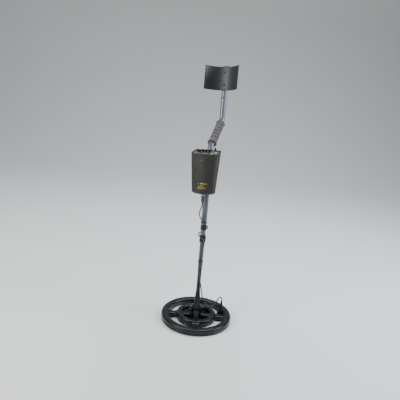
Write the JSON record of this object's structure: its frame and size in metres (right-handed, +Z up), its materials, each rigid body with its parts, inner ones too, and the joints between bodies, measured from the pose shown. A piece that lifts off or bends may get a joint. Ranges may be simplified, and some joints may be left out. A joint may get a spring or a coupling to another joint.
{
  "type": "metal detector",
  "caption": "Hand-held metal detector on a spoked round search coil, with telescoping stem, S-shaped handle, forearm cup and control box in a leatherette cover.",
  "frame": {"origin": "centre of the search coil's flat underside, where it stands on the ground", "axes": "+Z up; +X along the coil's tilt bolt, away from the wing nut; +Y towards the person who holds it, the way the stem leans"},
  "size_m": [0.28, 0.4582, 1.0011],
  "materials": {
    "coil_plastic": "moulded semi-gloss black plastic",
    "coil_cover_plastic": "satin black plastic bottom cover",
    "copper": "enamelled copper winding",
    "soft_rubber": "soft black rubber",
    "black_plastic": "satin black plastic",
    "rod_plastic": "glass-filled black plastic",
    "grey_tube": "grey powder coat on aluminium tube",
    "blue_grey_tube": "blue-grey metallic coat on tube",
    "steel": "plated steel",
    "speaker_steel": "dark plated steel",
    "dark_steel": "black plated steel",
    "bright_steel": "polished steel button",
    "foam": "closed-cell foam",
    "armrest_plastic": "dark grey plastic, soft shine",
    "panel_plastic": "grey control panel",
    "leatherette": "black leatherette with a soft grain",
    "board": "green circuit board",
    "battery_case": "printed battery case",
    "clear_lens": "clear meter window",
    "red_paint": "red needle",
    "red_button": "red push button",
    "gilt_brass": "gilt brass",
    "knob_plastic": "black moulded knob",
    "plug_plastic": "dark grey moulded plug",
    "cable_jacket": "smooth black cable jacket"
  },
  "bodies": {
    "coil": {"coil_housing": "coil_plastic", "coil_base_cover": "coil_cover_plastic", "transmit_winding": "copper", "receive_winding": "copper", "cable_gland": "soft_rubber", "pivot_bolt": "black_plastic", "friction_washers": "soft_rubber"},
    "wing_nut": {"wing_nut": "black_plastic"},
    "lower_stem": {"lower_rod": "rod_plastic", "lower_tube": "grey_tube", "rod_rivet": "steel", "cable_tie_lower": "black_plastic", "cable_lower": "cable_jacket"},
    "lock_collet": {"lock_collet": "black_plastic", "cable_wrap_lower": "cable_jacket"},
    "lock_nut": {"lock_nut": "black_plastic"},
    "spring_button": {"spring_button": "bright_steel"},
    "power_lever": {"power_lever": "knob_plastic"},
    "battery_test_button": {"battery_test_button": "red_button"},
    "meter_needle": {"meter_needle": "red_paint"},
    "tuning_knob": {"tuning_knob": "knob_plastic"},
    "sensitivity_knob": {"sensitivity_knob": "knob_plastic"},
    "discrimination_knob": {"discrimination_knob": "knob_plastic"},
    "volume_knob": {"volume_knob": "knob_plastic"},
    "upper_stem": {"middle_tube": "blue_grey_tube", "button_clip": "steel", "stem_ferrule": "black_plastic", "upper_tube": "blue_grey_tube", "tube_end_plug": "black_plastic", "foam_grip": "foam", "armrest": "armrest_plastic", "armrest_saddle": "black_plastic", "armrest_bolts": "dark_steel", "armrest_nuts": "dark_steel", "control_housing": "black_plastic", "control_panel": "panel_plastic", "box_cover": "leatherette", "box_clamps": "black_plastic", "clamp_screws": "steel", "panel_screws": "steel", "circuit_board": "board", "potentiometers": "steel", "loudspeaker": "speaker_steel", "battery_holder": "black_plastic", "batteries": "battery_case", "battery_test_switch": "black_plastic", "meter_body": "black_plastic", "meter_lens": "clear_lens", "power_switch": "steel", "headphone_socket": "gilt_brass", "coil_socket": "steel", "cable_plug": "plug_plastic", "cable_tie_upper": "black_plastic", "cable_upper": "cable_jacket", "cable_wrap_upper": "cable_jacket"}
  },
  "joints": [
    {"name": "coil_tilt", "type": "hinge", "parent": "coil", "child": "lower_stem", "pos_m": [0, 0, 0.047], "axis": [-1, 0, 0], "range_deg": [-92.5, 67.5], "deforming": ["cable_lower"]},
    {"name": "wing_nut_turn", "type": "hinge", "parent": "coil", "child": "wing_nut", "pos_m": [0, 0, 0.047], "axis": [-1, 0, 0], "range_deg": [0, 360]},
    {"name": "stem_extend", "type": "slide", "parent": "lower_stem", "child": "lock_collet", "axis": [0, 0.2164, 0.9763], "range_m": [-0.06, 0.04], "deforming": ["cable_wrap_lower"]},
    {"name": "stem_twist", "type": "hinge", "parent": "lock_collet", "child": "upper_stem", "pos_m": [0, 0.0606, 0.32036], "axis": [0, 0.2164, 0.9763], "range_deg": [-68, 112], "deforming": ["cable_wrap_upper"]},
    {"name": "lock_nut_turn", "type": "hinge", "parent": "upper_stem", "child": "lock_nut", "pos_m": [0, 0.0606, 0.32036], "axis": [0, 0.2164, 0.9763], "range_deg": [0, 90]},
    {"name": "spring_button_press", "type": "slide", "parent": "upper_stem", "child": "spring_button", "axis": [-0.9272, 0.3657, -0.0811], "range_m": [0, 0.0022], "stiffness_N_per_m": 900, "deforming": ["button_clip"]},
    {"name": "power_lever_flip", "type": "hinge", "parent": "upper_stem", "child": "power_lever", "pos_m": [0.01957, 0.08892, 0.66833], "axis": [0.9272, -0.3657, 0.0811], "range_deg": [0, 24]},
    {"name": "battery_test_press", "type": "slide", "parent": "upper_stem", "child": "battery_test_button", "axis": [0.1189, 0.082, -0.9895], "range_m": [0, 0.002], "stiffness_N_per_m": 500},
    {"name": "meter_swing", "type": "hinge", "parent": "upper_stem", "child": "meter_needle", "pos_m": [-0.02316, 0.07585, 0.65403], "axis": [0.1189, 0.082, -0.9895], "range_deg": [0, 80], "stiffness_Nm_per_rad": 0.00002},
    {"name": "tuning_turn", "type": "hinge", "parent": "upper_stem", "child": "tuning_knob", "pos_m": [-0.04334, 0.11693, 0.6631], "axis": [-0.1189, -0.082, 0.9895], "range_deg": [-140, 140]},
    {"name": "sensitivity_turn", "type": "hinge", "parent": "upper_stem", "child": "sensitivity_knob", "pos_m": [-0.02851, 0.11108, 0.66439], "axis": [-0.1189, -0.082, 0.9895], "range_deg": [-140, 140]},
    {"name": "discrimination_turn", "type": "hinge", "parent": "upper_stem", "child": "discrimination_knob", "pos_m": [-0.01553, 0.10596, 0.66553], "axis": [-0.1189, -0.082, 0.9895], "range_deg": [-140, 140]},
    {"name": "volume_turn", "type": "hinge", "parent": "upper_stem", "child": "volume_knob", "pos_m": [-0.00255, 0.10084, 0.66666], "axis": [-0.1189, -0.082, 0.9895], "range_deg": [-140, 140]}
  ]
}
